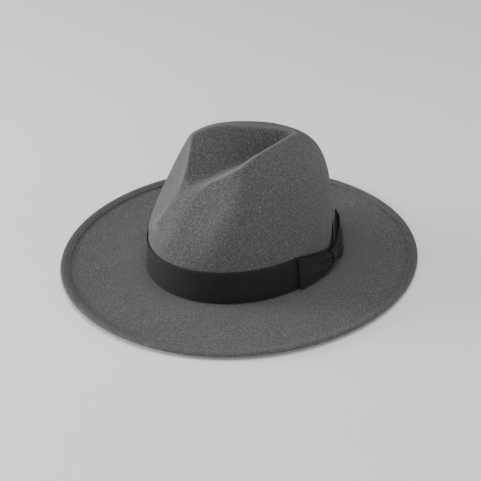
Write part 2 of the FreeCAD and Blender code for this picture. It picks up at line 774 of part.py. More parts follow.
def sweatband_edge():
    """Reed under the sweatband's lower edge, and the thread that sews the sweatband in."""
    reed_height = "Sheet.sweatband_bottom - Sheet.reed_radius - 0.1"
    reed_offset = "-(Sheet.felt_thickness + Sheet.sweatband_gap + Sheet.sweatband_thickness * 2 / 3)"
    wall_cord("sweatband_reed", reed_height, reed_offset, "Sheet.reed_radius")
    thread_offset = (
        "-(Sheet.felt_thickness + Sheet.sweatband_gap + Sheet.sweatband_thickness"
        " + Sheet.thread_gap * 2 + Sheet.seam_tape_thickness + Sheet.thread_gap * 2 + Sheet.thread_radius)"
    )
    height = "Sheet.sweatband_bottom + 1.8"
    wall_cord("sweatband_thread", height, thread_offset, "Sheet.thread_radius", THREAD_FLATS)


PIECES = (
    felt_body, brim_wire, wire_joiner, welt_threads, hat_band, bow_loops, bow_knot, tacks,
    sweatband, sweatband_seam_tape, sweatband_edge,
)
NODES = (
    "felt_body", "brim_wire", "wire_joiner", "welt_needle_thread", "welt_bobbin_thread",
    "hat_band", "band_tack_front", "band_tack_back", "band_tack_right",
    "bow_front_loop", "bow_rear_loop", "bow_knot", "bow_tack_front", "bow_tack_rear",
    "sweatband", "sweatband_reed", "sweatband_thread", "sweatband_seam_tape",
)
for make in PIECES:
    make()
doc.recompute()

# ---------------------------------------------------------------- checks and files
for item in doc.Objects:
    if "Invalid" in item.State or "Error" in item.State:
        raise RuntimeError(f"{item.Name} failed: {item.State}")
for name in NODES:
    shape = doc.getObject(name).Shape
    if shape.isNull() or not shape.isValid() or len(shape.Solids) != 1:
        raise RuntimeError(f"{name} isn't one valid solid")
for name in NODES:
    shape = doc.getObject(name).Shape
    shape.exportStep(f"parts/{name}.step")
    print(f"{name}: {shape.Volume:.1f} mm3")
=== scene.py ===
"""Fedora hat: the finished looks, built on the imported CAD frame.

The frame is in metres with +Z up, the front of the hat at -Y and the wearer's left at +X. The shapes below
are worked out in millimetres, from the same driving dimensions as the CAD, and scaled when a mesh is made.
"""
import math

import bmesh
import bpy
import numpy as np
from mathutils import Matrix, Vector


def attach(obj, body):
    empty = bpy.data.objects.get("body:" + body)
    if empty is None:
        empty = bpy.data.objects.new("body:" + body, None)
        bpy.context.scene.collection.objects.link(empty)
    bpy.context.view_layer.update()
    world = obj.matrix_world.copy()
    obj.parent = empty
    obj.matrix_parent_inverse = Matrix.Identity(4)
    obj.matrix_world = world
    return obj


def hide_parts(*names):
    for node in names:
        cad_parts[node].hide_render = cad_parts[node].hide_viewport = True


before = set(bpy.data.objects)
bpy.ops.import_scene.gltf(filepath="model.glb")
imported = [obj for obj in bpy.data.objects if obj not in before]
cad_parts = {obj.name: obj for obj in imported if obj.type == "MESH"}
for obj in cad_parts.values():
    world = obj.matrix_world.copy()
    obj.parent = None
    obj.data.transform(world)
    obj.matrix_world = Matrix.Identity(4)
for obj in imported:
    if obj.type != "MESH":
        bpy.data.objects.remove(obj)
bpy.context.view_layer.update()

MM = 0.001
TAU = 2 * math.pi

# ---------------------------------------------------------------- sizes, in millimetres and degrees
# the crown's dome, the crease in its top and the two pinches at its front
CROWN_LENGTH = 103.5
CROWN_WIDTH = 88.2
CROWN_HEIGHT = 147.8
TOP_SLOPE = -0.132
TOP_BOW = 0.021
DOME_SQUARENESS = 5.15
FRONT_LEAN = (14.6, 1.65)
BACK_LEAN = (0.95, 3.9)
SIDE_LEAN = (29.9, 1.2)
CREASE_FLOOR = 113.7
CREASE_BACK_RISE = 0.0048
CREASE_FRONT_FALL = 0.17
CREASE_FRONT = -20.0
CREASE_ROUND = 8.3
CREASE_SLOPE = 0.76
CREASE_STEEPER = 0.0038
CREASE_STEEPER_FROM = -30.0
BROW_START = -58.0
BROW_LENGTH = 60.0
BROW_DROP = 54.0
BROW_SPREAD = 0.41
RIDGE_ROUND = (3.5, 10.5)
# how far to either side of a crisp fold the painted highlight reaches
FOLD_HIGHLIGHT_SPREAD = 2.0
PINCH_CENTRE = (63.4, -96.4, 129.3)
PINCH_TURN = 17.6
PINCH_TILT = -28.5
PINCH_RADII = (59.3, 95.4, 130.0)
PINCH_ROUND = (4.0, 12.0)
PINCH_PARTING_ROUND = 12.0
# the rays that find the crown start on its axis at this height
RAY_HEIGHT = 58.0
# felt and brim
FELT = 2.2
BRIM_LENGTH = 195.2
BRIM_WIDTH = 179.3
BRIM_RISE = 2.3
BRIM_FRONT_LIFT = 1.2
BRIM_FLAT = 0.25
BREAK_ROUND = 1.2
BREAK_HEIGHT = FELT + BREAK_ROUND
WELT = 10.0
FOLD = 4.6
PARED = 1.1
SLIT = 0.14
WIRE_INSET = 2.7
CHANNEL = 1.0
STITCH_INSET = 7.6
WELT_STITCHES = 320
THREAD = 0.22
# ribbon and bow
RIBBON_FOOT = 3.2
RIBBON_WIDTH = 34.8
RIBBON_TOP = RIBBON_FOOT + RIBBON_WIDTH
RIBBON = 0.7
RIB_PITCH = 1.9
LAYER_GAP = 0.2
BOW_ANGLE = 130.0
BOW_HEIGHT = 15.5
BOW_LIFT = 6.7
WAIST = 7.0
WAIST_SHARE = 0.13
WAIST_THICKNESS = 2.2
KNOT_WIDTH = 11.0
CROWN_RADIUS_AT_BOW = 97.0
# sweatband
SWEAT_FOOT = 3.6
SWEAT_WIDTH = 29.0
SWEAT = 0.9
SWEAT_GAP = 0.6

# how finely the felt is divided round the crown and round the brim
CROWN_STEPS = 480
BRIM_STEPS = 2 * CROWN_STEPS        # three points to each stitch of the welt


# ---------------------------------------------------------------- the crown's formula
def smooth_larger(first, second, roundness):
    """The larger of two values, with the corner between them rounded."""
    share = np.clip(0.5 + 0.5 * (first - second) / roundness, 0, 1)
    return second + (first - second) * share + roundness * share * (1 - share)


def eased(share):
    """0 to 1 with a soft start and a soft end."""
    share = np.clip(share, 0, 1)
    return share * share * (3 - 2 * share)


def crown_oval(height):
    """Half-length, half-width and middle of the uncreased crown's oval at a height."""
    part_way = np.maximum(0, height / CROWN_HEIGHT)
    front = FRONT_LEAN[0] * part_way ** FRONT_LEAN[1]
    back = BACK_LEAN[0] * part_way ** BACK_LEAN[1]
    side = SIDE_LEAN[0] * part_way ** SIDE_LEAN[1]
    return CROWN_LENGTH - (front + back) / 2, CROWN_WIDTH - side, (front - back) / 2


def dome_depth(x, y, z):
    """Rough distance outside the plain dome, negative inside it."""
    half_length, half_width, middle = crown_oval(z)
    outward = np.hypot(x / half_width, (y - middle) / half_length)
    station = y / 100
    upward = np.maximum(0, z) / (CROWN_HEIGHT * (1 + TOP_SLOPE * station + TOP_BOW * station ** 2))
    power = DOME_SQUARENESS
    return ((outward ** power + upward ** power) ** (1 / power) - 1) * CROWN_WIDTH


def crease_depth(x, y, z):
    """Distance above the trough that makes the lengthwise crease."""
    # the floor climbs to the back, falls a little to the front and then dives over the brow
    floor = CREASE_FLOOR + CREASE_BACK_RISE * np.maximum(0, y) ** 2
    floor = floor - CREASE_FRONT_FALL * np.maximum(0, CREASE_FRONT - y)
    floor = floor - BROW_DROP * eased((BROW_START - y) / BROW_LENGTH)
    slope = CREASE_SLOPE + CREASE_STEEPER * np.maximum(0, y - CREASE_STEEPER_FROM) ** 1.3
    slope = slope - BROW_SPREAD * eased((BROW_START + 6 - y) / 14)
    aside = np.hypot(x, CREASE_ROUND) - CREASE_ROUND
    return (z - floor - slope * aside) / np.hypot(1, slope)


def pinch_depth(x, y, z):
    """Distance into the egg that pinches the front, negative outside it."""
    aside = np.hypot(x, PINCH_PARTING_ROUND) - PINCH_PARTING_ROUND - PINCH_CENTRE[0]
    along = y - PINCH_CENTRE[1]
    above = z - PINCH_CENTRE[2]
    turn = math.radians(PINCH_TURN)
    tilt = math.radians(PINCH_TILT)
    inward = aside * math.sin(turn) - along * math.cos(turn)
    lengthwise = aside * math.cos(turn) + along * math.sin(turn)
    upright = above * math.cos(tilt) + inward * math.sin(tilt)
    inward = inward * math.cos(tilt) - above * math.sin(tilt)
    parts = (inward, lengthwise, upright)
    egg = np.sqrt(sum((part / radius) ** 2 for part, radius in zip(parts, PINCH_RADII)))
    return (1 - egg) * min(PINCH_RADII)


def crown_parts(points):
    """Distances outside the pinched dome and outside the crease, and the rounding between the two."""
    x, y, z = points[..., 0], points[..., 1], points[..., 2]
    # the edges are crisp on the wearer's right and along the top, and soft on the left beside the nose
    crisp, soft = PINCH_ROUND
    roundness = crisp + (soft - crisp) * eased((x + 10) / 30)
    pinched = smooth_larger(dome_depth(x, y, z), pinch_depth(x, y, z), roundness)
    crisp, soft = RIDGE_ROUND
    roundness = crisp + (soft - crisp) * eased((x + 15) / 30) * eased((BROW_START + 6 - y) / 24)
    return pinched, crease_depth(x, y, z), roundness


def crown_depth(points):
    """Distance outside the finished crown's outer skin, negative inside it."""
    return smooth_larger(*crown_parts(points))


def fold_nearness(points):
    """1 on the crest of the crown's crisp folds, falling to 0 a few millimetres to either side: where the
    felt gets its painted highlight.
    """
    pinched, creased, roundness = crown_parts(points)
    crisp = (RIDGE_ROUND[0] / roundness) ** 4
    return crisp * np.exp(-((pinched - creased) / FOLD_HIGHLIGHT_SPREAD) ** 2)


def trace_crown(angles, start_height, elevation):
    """Where rays from the crown's axis leave its outer skin."""
    across = CROWN_WIDTH * np.sin(angles)
    along = -CROWN_LENGTH * np.cos(angles)
    reach = np.hypot(across, along)
    level = np.cos(elevation) + 0 * angles
    direction = np.stack([across / reach * level, along / reach * level, np.sin(elevation) + 0 * angles], -1)
    start = np.zeros_like(direction)
    start[..., 2] = start_height
    near = np.zeros(direction.shape[:-1])
    far = np.full(direction.shape[:-1], 2 * CROWN_LENGTH)
    for _ in range(34):
        middle = (near + far) / 2
        inside = crown_depth(start + direction * middle[..., None]) < 0
        near = np.where(inside, middle, near)
        far = np.where(inside, far, middle)
    return start + direction * near[..., None]


def crown_normal(points):
    """Outward unit normals of the crown's outer skin."""
    slope = np.zeros_like(points)
    for axis in range(3):
        step = np.zeros(3)
        step[axis] = 0.05
        slope[..., axis] = crown_depth(points + step) - crown_depth(points - step)
    return unit(slope)


def unit(vectors):
    """Vectors scaled to length one."""
    return vectors / np.maximum(1e-12, np.linalg.norm(vectors, axis=-1, keepdims=True))


def ripple(points, wavelength, amount, seed, waves=9):
    """Slow uneven swell through space, a sum of plane waves in scattered directions."""
    rng = np.random.default_rng(seed)
    swell = np.zeros(points.shape[:-1])
    for _ in range(waves):
        direction = unit(rng.normal(size=3)) * TAU / (wavelength * rng.uniform(0.6, 1.7))
        swell += np.sin(points @ direction + rng.uniform(0, TAU))
    return swell * amount / math.sqrt(waves / 2)


def plan_normal(angles):
    """Unit normals of the crown's oval in plan."""
    across = CROWN_LENGTH * np.sin(angles)
    along = -CROWN_WIDTH * np.cos(angles)
    return unit(np.stack([across, along, 0 * angles], -1))


# ---------------------------------------------------------------- meshes
def finished(obj, material, replaced=(), sharp=60):
    """Give a piece its smoothing, material and place on the frame, and hide the CAD parts that it replaces.
    """
    obj.data.shade_smooth()
    obj.data.set_sharp_from_angle(angle=math.radians(sharp))
    obj.data.materials.clear()
    obj.data.materials.append(material)
    if replaced:
        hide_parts(*replaced)
    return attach(obj, "root")


def mesh_object(name, points, faces, uvs=None, wear_and_painted_highlight=None):
    """Closed mesh from points in millimetres, facing outward.

    The uvs, one pair a point, are kept in metres. The last argument is each point's share of the painted
    highlight on the crisp folds.
    """
    mesh = bpy.data.meshes.new(name)
    mesh.from_pydata((points * MM).tolist(), [], [[int(i) for i in face] for face in faces])
    shape = bmesh.new()
    shape.from_mesh(mesh)
    bmesh.ops.recalc_face_normals(shape, faces=shape.faces)
    shape.to_mesh(mesh)
    shape.free()
    if uvs is not None:
        layer = mesh.uv_layers.new(name="cloth")
        corners = np.zeros(len(mesh.loops), np.int32)
        mesh.loops.foreach_get("vertex_index", corners)
        layer.data.foreach_set("uv", (uvs[corners] * MM).astype(np.float32).ravel())
    if wear_and_painted_highlight is not None:
        mesh.attributes.new("wear_and_painted_highlight", "FLOAT", "POINT").data.foreach_set("value", wear_and_painted_highlight.astype(np.float32))
    mesh.validate()
    mesh.update()
    obj = bpy.data.objects.new(name, mesh)
    bpy.context.scene.collection.objects.link(obj)
    return obj


def tube_faces(rows, around, first=0):
    """Quads between rings of points that follow each other."""
    faces = []
    for row in range(rows - 1):
        low = first + row * around
        high = low + around
        faces += [
            (low + i, low + (i + 1) % around, high + (i + 1) % around, high + i) for i in range(around)
        ]
    return faces


def sheet_mesh(name, middle, thickness, relief=0.0, closed=False):
    """Sheet with a real thickness over a grid of middle points.

    The grid's first index runs along the sheet and its second runs across it. Relief is added to both faces.
    """
    along = np.gradient(middle, axis=0)
    if closed:
        along = np.roll(middle, -1, axis=0) - np.roll(middle, 1, axis=0)
    across = np.gradient(middle, axis=1)
    half = (np.zeros(middle.shape[:2]) + thickness / 2 + relief)[..., None]
    offset = unit(np.cross(along, across)) * half
    rim = unit(across) * thickness * 0.35
    low_rim = middle[:, :1] - rim[:, :1]
    high_rim = middle[:, -1:] + rim[:, -1:]
    rings = np.concatenate([middle + offset, high_rim, (middle - offset)[:, ::-1], low_rim], axis=1)
    rows, around = rings.shape[:2]
    width = middle.shape[1]

    # distances along and across the sheet, for the weave
    travelled = path_length(middle[:, width // 2])
    reached = path_length(middle[rows // 2])
    crossing = np.concatenate([reached, reached[-1:], reached[::-1], reached[:1]])
    uvs = np.stack(np.broadcast_arrays(travelled[:, None], crossing[None, :]), -1).reshape(-1, 2)

    faces = tube_faces(rows, around)
    last = (rows - 1) * around
    if closed:
        faces += [(last + i, last + (i + 1) % around, (i + 1) % around, i) for i in range(around)]
        return mesh_object(name, rings.reshape(-1, 3), faces, uvs)
    for base in (0, last):
        far = base + 2 * width
        faces += [(base + i, base + i + 1, far - i - 1, far - i) for i in range(width - 1)]
        faces += [(base, far, far + 1), (base + width - 1, base + width, base + width + 1)]
    return mesh_object(name, rings.reshape(-1, 3), faces, uvs)


def path_length(points):
    """Distance travelled to each point of a line of points."""
    steps = np.linalg.norm(np.diff(points, axis=0), axis=-1)
    return np.concatenate([[0], np.cumsum(steps)])


def stitch_mesh(name, centres, along, outward, length, radius, sink):
    """A row of separate stitches, each a short bowed thread whose ends dive into the cloth."""
    stations = np.linspace(-1, 1, 7)
    turns = np.arange(8) * TAU / 8
    aside = unit(np.cross(along, outward))
    points = []
    for station in stations:
        spine = centres + along * (length / 2 * station) - outward * (sink * station ** 4)
        girth = radius * math.sqrt(max(0.04, 1 - station ** 6))
        for turn in turns:
            points.append(spine + (aside * math.cos(turn) + outward * math.sin(turn)) * girth)
    grid = np.stack(points, 1)
    per_stitch = grid.shape[1]
    faces = []
    for number in range(len(centres)):
        first = number * per_stitch
        faces += tube_faces(len(stations), 8, first)
        faces.append(tuple(first + i for i in reversed(range(8))))
        faces.append(tuple(first + per_stitch - 8 + i for i in range(8)))
    return mesh_object(name, grid.reshape(-1, 3), faces)


# ---------------------------------------------------------------- the felt
class Brim:
    """The brim in plan: lines run from the foot of the crown to the brim's edge."""

    def __init__(self, steps):
        self.angles = np.arange(steps) * TAU / steps
        wall = trace_crown(self.angles, BREAK_HEIGHT, 0.0)
        self.foot = wall + plan_normal(self.angles) * BREAK_ROUND
        self.foot[:, 2] = 0
        edge = np.stack(
            [BRIM_WIDTH * np.sin(self.angles), -BRIM_LENGTH * np.cos(self.angles), 0 * self.angles], -1
        )
        self.width = np.linalg.norm(edge - self.foot, axis=-1)
        self.outward = unit(edge - self.foot)
        rng = np.random.default_rng(11)
        self.swell = sum(
            rng.uniform(0.5, 1.0) / turns * np.cos(turns * self.angles + rng.uniform(0, TAU))
            for turns in (2, 3, 4, 5, 7, 9)
        )
        self.raw_edge = ripple(edge, 7.0, 0.10, 21) + ripple(edge, 34.0, 0.16, 22)

    def underside(self, share):
        """Height of the brim's underside; share is 0 at the crown and 1 at the edge."""
        lifted = np.maximum(0, (share - BRIM_FLAT) / (1 - BRIM_FLAT)) ** 2
        return (BRIM_RISE + BRIM_FRONT_LIFT * np.cos(self.angles) + 0.75 * self.swell) * lifted

    def ring(self, height, share=None, inset=None):
        """Ring at a share of the brim's width, or at an inset from its edge, above the underside."""
        reach = self.width * share if inset is None else self.width - inset
        ring = self.foot + self.outward * reach[:, None]
        ring[:, 2] = height + self.underside(reach / self.width)
        return ring


def brim_rings(brim):
    """Rings from the foot of the crown over the brim and welt, and back under to the head opening."""
    lower_top = (FOLD - SLIT) / 2
    upper_bottom = (FOLD + SLIT) / 2
    rings = []
    inner_share = 1 - (WELT + 3.0) / brim.width
    for part in np.linspace(0.0, 1.0, 58):
        ring = brim.ring(FELT, share=part * inner_share)
        waves = ripple(ring, 46.0, 0.16, 31) + ripple(ring, 15.0, 0.07, 32)
        ring[:, 2] += waves * math.sin(math.pi * part) ** 0.5
        rings.append(ring)
    # the felt is pulled down a little along the foot of the welt
    rings += [brim.ring(lower_top, inset=inset) for inset in (WELT + 2.0, WELT + 1.2, WELT + 0.6)]
    rings += [brim.ring(lower_top, inset=WELT - depth) for depth in (0.0, 1.0, 2.5, 4.0)]
    for turn in np.radians(np.linspace(25, 335, 12)):
        height = FOLD / 2 - CHANNEL * math.sin(turn)
        rings.append(brim.ring(height, inset=WIRE_INSET + CHANNEL * math.cos(turn)))
    rings += [brim.ring(upper_bottom, inset=WELT - depth) for depth in (4.0, 2.5, 1.0)]
    # the raw cut edge of the welt wanders a little, and so does the felt on top of it
    edge_profile = ((0.05, upper_bottom), (0.0, 2.7), (0.05, 3.1), (0.25, 3.4), (0.7, welt_top(WELT - 0.7)))
    for depth, height in edge_profile:
        rings.append(brim.ring(height, inset=WELT + brim.raw_edge - depth))
    for inset in (8.8, 8.4, 7.9, 7.6, 7.3, 6.8, 6.0, 5.0, 4.0, 3.2):
        ring = brim.ring(welt_top(inset), inset=inset)
        ring[:, 2] += ripple(ring, 11.0, 0.05, 33) - stitch_sink(brim, inset)
        rings.append(ring)
    for turn in np.radians(np.linspace(80, -80, 17)):
        ring = brim.ring(FOLD / 2 + FOLD / 2 * math.sin(turn), inset=FOLD / 2 * (1 - math.cos(turn)))
        rings.append(ring)
    for inset in (3.4, 4.4, 5.6, 6.8, 7.3, 7.6, 7.9, 8.4, 9.6, 11.5, 14.0):
        ring = brim.ring(0, inset=inset)
        ring[:, 2] += stitch_sink(brim, inset)
        rings.append(ring)
    outer_share = 1 - 16.5 / brim.width
    for part in np.linspace(0, 1, 36):
        ring = brim.ring(0, share=outer_share + (BRIM_FLAT - outer_share) * part)
        ring[:, 2] += 0.1 * math.sin(math.pi * part) * (1 + ripple(ring, 50.0, 0.6, 34))
        rings.append(ring)
    rings += [brim.ring(0, share=share) for share in (0.2, 0.15, 0.1, 0.06)]
    return rings


def welt_top(inset):
    """Height of the welt's top, where the felt was pared thinner towards its raw edge."""
    return FOLD - PARED * eased((inset - 4.5) / (WELT - 4.5))


def stitch_sink(brim, inset):
    """How far the welt's lockstitch pulls the felt in, deepest where the needle goes through."""
    holes = np.cos(WELT_STITCHES * brim.angles / 2) ** 8
    near = math.exp(-((inset - STITCH_INSET) / 0.55) ** 2)
    return near * (0.12 + 0.08 * holes)


def bend_rings(brim, radius, turns):
    """Rings on the bend between crown and brim; a turn of 0 is at the wall and 90 degrees at the brim."""
    normal = plan_normal(brim.angles)
    rings = []
    for turn in turns:
        ring = brim.foot - normal * (radius * math.cos(turn))
        ring[:, 2] = BREAK_HEIGHT - radius * math.sin(turn)
        rings.append(ring)
    return rings


def felt_crown_rings(above, below):
    """Rings of the crown's outer skin from its top to the bend."""
    angles = np.arange(CROWN_STEPS) * TAU / CROWN_STEPS
    elevations = np.radians(np.linspace(89.4, 0, above))
    heights = np.linspace(RAY_HEIGHT, BREAK_HEIGHT, below + 1)[1:]
    rings = [trace_crown(angles, RAY_HEIGHT, elevation) for elevation in elevations]
    rings += [trace_crown(angles, height, 0.0) for height in heights]
    return np.array(rings)


def felt_body():
    """Crown, brim and folded welt: one piece of felt."""
    brim = Brim(BRIM_STEPS)
    outer = felt_crown_rings(134, 40)
    folded = fold_nearness(outer)
    swell = ripple(outer, 60.0, 0.22, 41) + ripple(outer, 24.0, 0.12, 42) + ripple(outer, 9.0, 0.04, 43)
    free = eased((outer[..., 2] - RIBBON_TOP) / 12)
    outer = outer + crown_normal(outer) * (swell * free)[..., None]
    inner = felt_crown_rings(70, 22)
    inner = inner - crown_normal(inner) * FELT
    bend = np.radians([15, 35, 55, 75])
    middle = bend_rings(brim, BREAK_ROUND, bend) + brim_rings(brim)
    middle += bend_rings(brim, BREAK_HEIGHT, bend[::-1])
    middle = np.array(middle)
    inner = inner[::-1]

    points = [outer[0].mean(0)[None], outer.reshape(-1, 3), middle.reshape(-1, 3), inner.reshape(-1, 3)]
    points.append(inner[-1].mean(0)[None])
    starts = np.cumsum([0] + [len(part) for part in points])
    last = starts[4] - CROWN_STEPS
    faces = [(0, 1 + i, 1 + (i + 1) % CROWN_STEPS) for i in range(CROWN_STEPS)]
    faces += tube_faces(len(outer), CROWN_STEPS, starts[1])
    faces += bridge(starts[2] - CROWN_STEPS, starts[2])
    faces += tube_faces(len(middle), BRIM_STEPS, starts[2])
    faces += bridge(starts[3], starts[3] - BRIM_STEPS)
    faces += tube_faces(len(inner), CROWN_STEPS, starts[3])
    faces += [(starts[4], last + i, last + (i + 1) % CROWN_STEPS) for i in range(CROWN_STEPS)]
    points = np.concatenate(points)
    # each point of the crown's skin gets its share of the painted highlight on the crisp folds
    wear_and_painted_highlight = np.zeros(len(points))
    wear_and_painted_highlight[1:1 + folded.size] = folded.ravel()
    felt = mesh_object("felt_hat", points, faces, wear_and_painted_highlight=wear_and_painted_highlight)
    return finished(felt, felt_material(), ["felt_body"], sharp=70)


def bridge(coarse, fine):
    """Faces between the crown's ring and the brim's ring, which has twice as many points."""
    faces = []
    for i in range(CROWN_STEPS):
        here = coarse + i
        there = coarse + (i + 1) % CROWN_STEPS
        left = fine + 2 * i
        middle = left + 1
        right = fine + (2 * i + 2) % BRIM_STEPS
        faces += [(here, left, middle), (here, middle, there), (there, middle, right)]
    return faces


def welt_stitches(name, node, height, side):
    """The stitches of one face of the welt's lockstitch."""
    brim = Brim(WELT_STITCHES)
    centres = brim.ring(height, inset=STITCH_INSET)
    along = unit(np.roll(centres, -1, axis=0) - np.roll(centres, 1, axis=0))
    outward = np.zeros_like(centres)
    outward[:, 2] = side
    outward = unit(outward - along * (outward * along).sum(-1, keepdims=True))
    step = np.linalg.norm(np.roll(centres, -1, axis=0) - centres, axis=-1).mean()
    row = stitch_mesh(name, centres + outward * 0.06, along, outward, step * 0.84, THREAD, 0.42)
    return finished(row, thread_material("grey thread", (0.085, 0.085, 0.09)), [node])


# ---------------------------------------------------------------- ribbon and bow
def wall_place(angle, height, lift):
    """Point on the crown's wall, with the directions outward, onward round the crown and up the wall."""
    turn = np.radians(angle)
    height = height + 0 * turn
    level = np.stack([crown_oval(height), crown_oval(height + 1)])
    spots = [
        np.stack([half_width * np.sin(turn), middle - half_length * np.cos(turn), height + rise], -1)
        for rise, (half_length, half_width, middle) in enumerate(level)
    ]
    up_wall = unit(spots[1] - spots[0])
    onward = unit(np.cross(up_wall, plan_normal(turn)))
    outward = unit(np.cross(onward, up_wall))
    return spots[0] + outward * np.asarray(lift)[..., None], outward, onward, up_wall


def ribs(distance, amount):
    """Relief of the ribbon's cross ribs."""
    return amount * np.cos(TAU * distance / RIB_PITCH)


def hat_band():
    """Ribbon round the foot of the crown. Where the knot gathers it, it narrows and wrinkles."""
    start = BOW_ANGLE + 0.1
    angles = np.radians(np.linspace(start, start + 359.8, 2600))
    turned = np.degrees(angles) - BOW_ANGLE
    beyond = np.minimum(turned, 360 - turned)
    gather = 1 - np.where(turned < 180, eased(beyond / 45.0), np.clip(beyond / 31.0, 0, 1) ** 0.8)
    foot = RIBBON_FOOT + 5.0 * (1 - eased(beyond / 7.0))
    top = RIBBON_TOP - 15.5 * gather
    across = np.linspace(0, 1, 12)
    height = foot[:, None] + (top - foot)[:, None] * across
    column_angle = np.degrees(angles)[:, None] + 0 * height
    centre, outward, onward, up_wall = wall_place(column_angle, height, 0 * height)
    lift = LAYER_GAP + RIBBON / 2 + 0.05
    slack = ripple(centre, 70.0, 0.10, 51) + 0.12 * (1 - across) ** 2
    wrinkles = gather[:, None] * (0.5 + 0.45 * np.cos(TAU * 2.5 * across + 0.6))
    # its upper edge stands off the felt a little at the front
    standing = 1.0 * (np.maximum(0, np.cos(angles)) ** 1.5)[:, None] * across ** 4
    travelled = path_length(centre[:, 6])
    picot = 0.10 * np.cos(TAU * travelled / RIB_PITCH)[:, None] * np.where(np.abs(across - 0.5) > 0.49, 1, 0)
    middle = centre + outward * (lift + np.abs(slack) + wrinkles + standing)[..., None]
    middle = middle + up_wall * (picot * np.sign(across - 0.5))[..., None]
    band = sheet_mesh("ribbon_band", middle, RIBBON - 0.16, ribs(travelled, 0.08)[:, None])
    return finished(band, RIBBON_CLOTH, ["hat_band"], sharp=80)


def loop_section(loop, share):
    """Centre, half-height and directions of a bow loop's section, a share of the way from the waist."""
    past_waist = np.maximum(0, share - WAIST_SHARE)
    # the front loop's upper edge climbs all the way, and the rear loop's in half the way
    climb = eased(past_waist / 0.5)
    if loop["climbs_slowly"]:
        climb = np.clip(past_waist / (1 - WAIST_SHARE), 0, 1) ** 0.8
    top = BOW_HEIGHT + WAIST + (RIBBON_TOP - BOW_HEIGHT - WAIST) * climb
    foot = BOW_HEIGHT - WAIST + (RIBBON_FOOT - BOW_HEIGHT + WAIST) * eased(past_waist / 0.25)
    lift = BOW_LIFT + (loop["lift"] - BOW_LIFT) * eased(past_waist / loop["settling"])
    slant = np.radians(loop["slant"] * past_waist)
    lean = np.radians(loop["lean"] * past_waist)
    angle = BOW_ANGLE + (loop["angle"] - BOW_ANGLE) * share
    centre, outward, onward, up_wall = wall_place(angle, (top + foot) / 2, lift)
    # lean first, about the line round the crown, and then slant, about the line outward
    upward = up_wall * np.cos(lean)[..., None] - outward * np.sin(lean)[..., None]
    upward = upward * np.cos(slant)[..., None] + np.cross(upward, outward) * np.sin(slant)[..., None]
    facing = unit(outward * np.cos(lean)[..., None] + up_wall * np.sin(lean)[..., None])
    return centre, (top - foot) / 2 / np.cos(slant), upward, facing


LOOPS = {
    "front": {
        "angle": 98.5, "lift": 3.4, "settling": 0.4, "slant": 0.0, "lean": 0.0,
        "swell": 0.6, "climbs_slowly": True, "pleat_phase": 0.3, "seed": 61,
    },
    "rear": {
        "angle": 156.5, "lift": 8.5, "settling": 1.0, "slant": 41.0, "lean": 9.0,
        "swell": 2.4, "climbs_slowly": False, "pleat_phase": 0.9, "seed": 67,
    },
}


def bow_loop(end):
    """One loop of the bow: ribbon that runs out from the waist, folds over at its end and runs back."""
    loop = LOOPS[end]
    thickness = 0.55
    fold = 0.85
    fine = np.linspace(0.01, 1.0, 400)
    spine = path_length(loop_section(loop, fine)[0])
    reach = spine[-1]
    length = 2 * reach + math.pi * fold
    travelled = np.arange(0, length, RIB_PITCH / 8)
    # each column lies on the outer layer, round the fold or on the inner layer
    share = np.interp(np.minimum(travelled, length - travelled), spine, fine)
    turn = np.clip((travelled - reach) / fold, 0, math.pi)
    across = np.linspace(-1, 1, 49)
    centre, half_height, upward, facing = loop_section(loop, share)
    gathered = 1 - eased((share - WAIST_SHARE) / 0.72)
    swell = loop["swell"] * np.sin(math.pi * np.clip((share - 0.1) / 0.9, 0, 1)) ** 1.5
    apart = (fold + swell) * np.cos(turn)
    apart = apart[:, None] * (1 - 0.35 * gathered[:, None] * across ** 2)
    pleats = gathered[:, None] * np.cos(TAU * (1.4 * across + loop["pleat_phase"] + 0.3 * share[:, None]))
    soft = (share * (1 - share) * 4)[:, None] * np.cos(TAU * (0.55 * across + loop["pleat_phase"]))
    travel = unit(np.gradient(centre, axis=0)) * np.sign(np.cos(turn) + 1e-9)[:, None]
    beyond = travel * (fold * np.sin(turn))[:, None]
    middle = centre[:, None] + beyond[:, None] + upward[:, None] * (half_height[:, None] * across)[..., None]
    middle = middle + facing[:, None] * (apart + 0.95 * pleats + 0.7 * soft)[..., None]
    middle = middle + facing[:, None] * ripple(middle, 18.0, 0.18, loop["seed"])[..., None]
    piece = sheet_mesh(f"bow_{end}", middle, thickness, ribs(travelled, 0.07)[:, None])
    return finished(piece, RIBBON_CLOTH, [f"bow_{end}_loop"], sharp=80)


def bow_knot():
    """Short wrap of ribbon, folded lengthwise into creases, round the loops' waists."""
    thickness = 0.5
    turns = np.linspace(0, TAU, 220, endpoint=False)
    across = np.linspace(-1, 1, 41)
    half_turn = math.degrees(KNOT_WIDTH / 2 / CROWN_RADIUS_AT_BOW)
    centre, outward, onward, up_wall = wall_place(
        BOW_ANGLE - across * half_turn, BOW_HEIGHT, BOW_LIFT + 0 * across
    )
    front = eased((np.cos(turns) + 0.6) / 1.4)[:, None]
    creases = 0.55 * np.abs(np.sin(math.pi * (1.35 * across + 0.35 * np.sin(turns)[:, None] + 0.2))) ** 0.7
    curled = -0.9 * np.clip(np.abs(across) - 0.78, 0, 1) / 0.22 * 0.5
    relief = 0.35 + front * (creases + curled)
    tall = WAIST + 0.45 + relief
    deep = WAIST_THICKNESS + 0.45 + relief
    middle = centre[None] + up_wall[None] * (tall * np.sin(turns)[:, None])[..., None]
    middle = middle + outward[None] * (deep * np.cos(turns)[:, None])[..., None]
    travelled = path_length(middle[:, 20])
    knot = sheet_mesh("bow_knot_wrap", middle, thickness, ribs(travelled, 0.04)[:, None], closed=True)
    return finished(knot, RIBBON_CLOTH, ["bow_knot"], sharp=80)


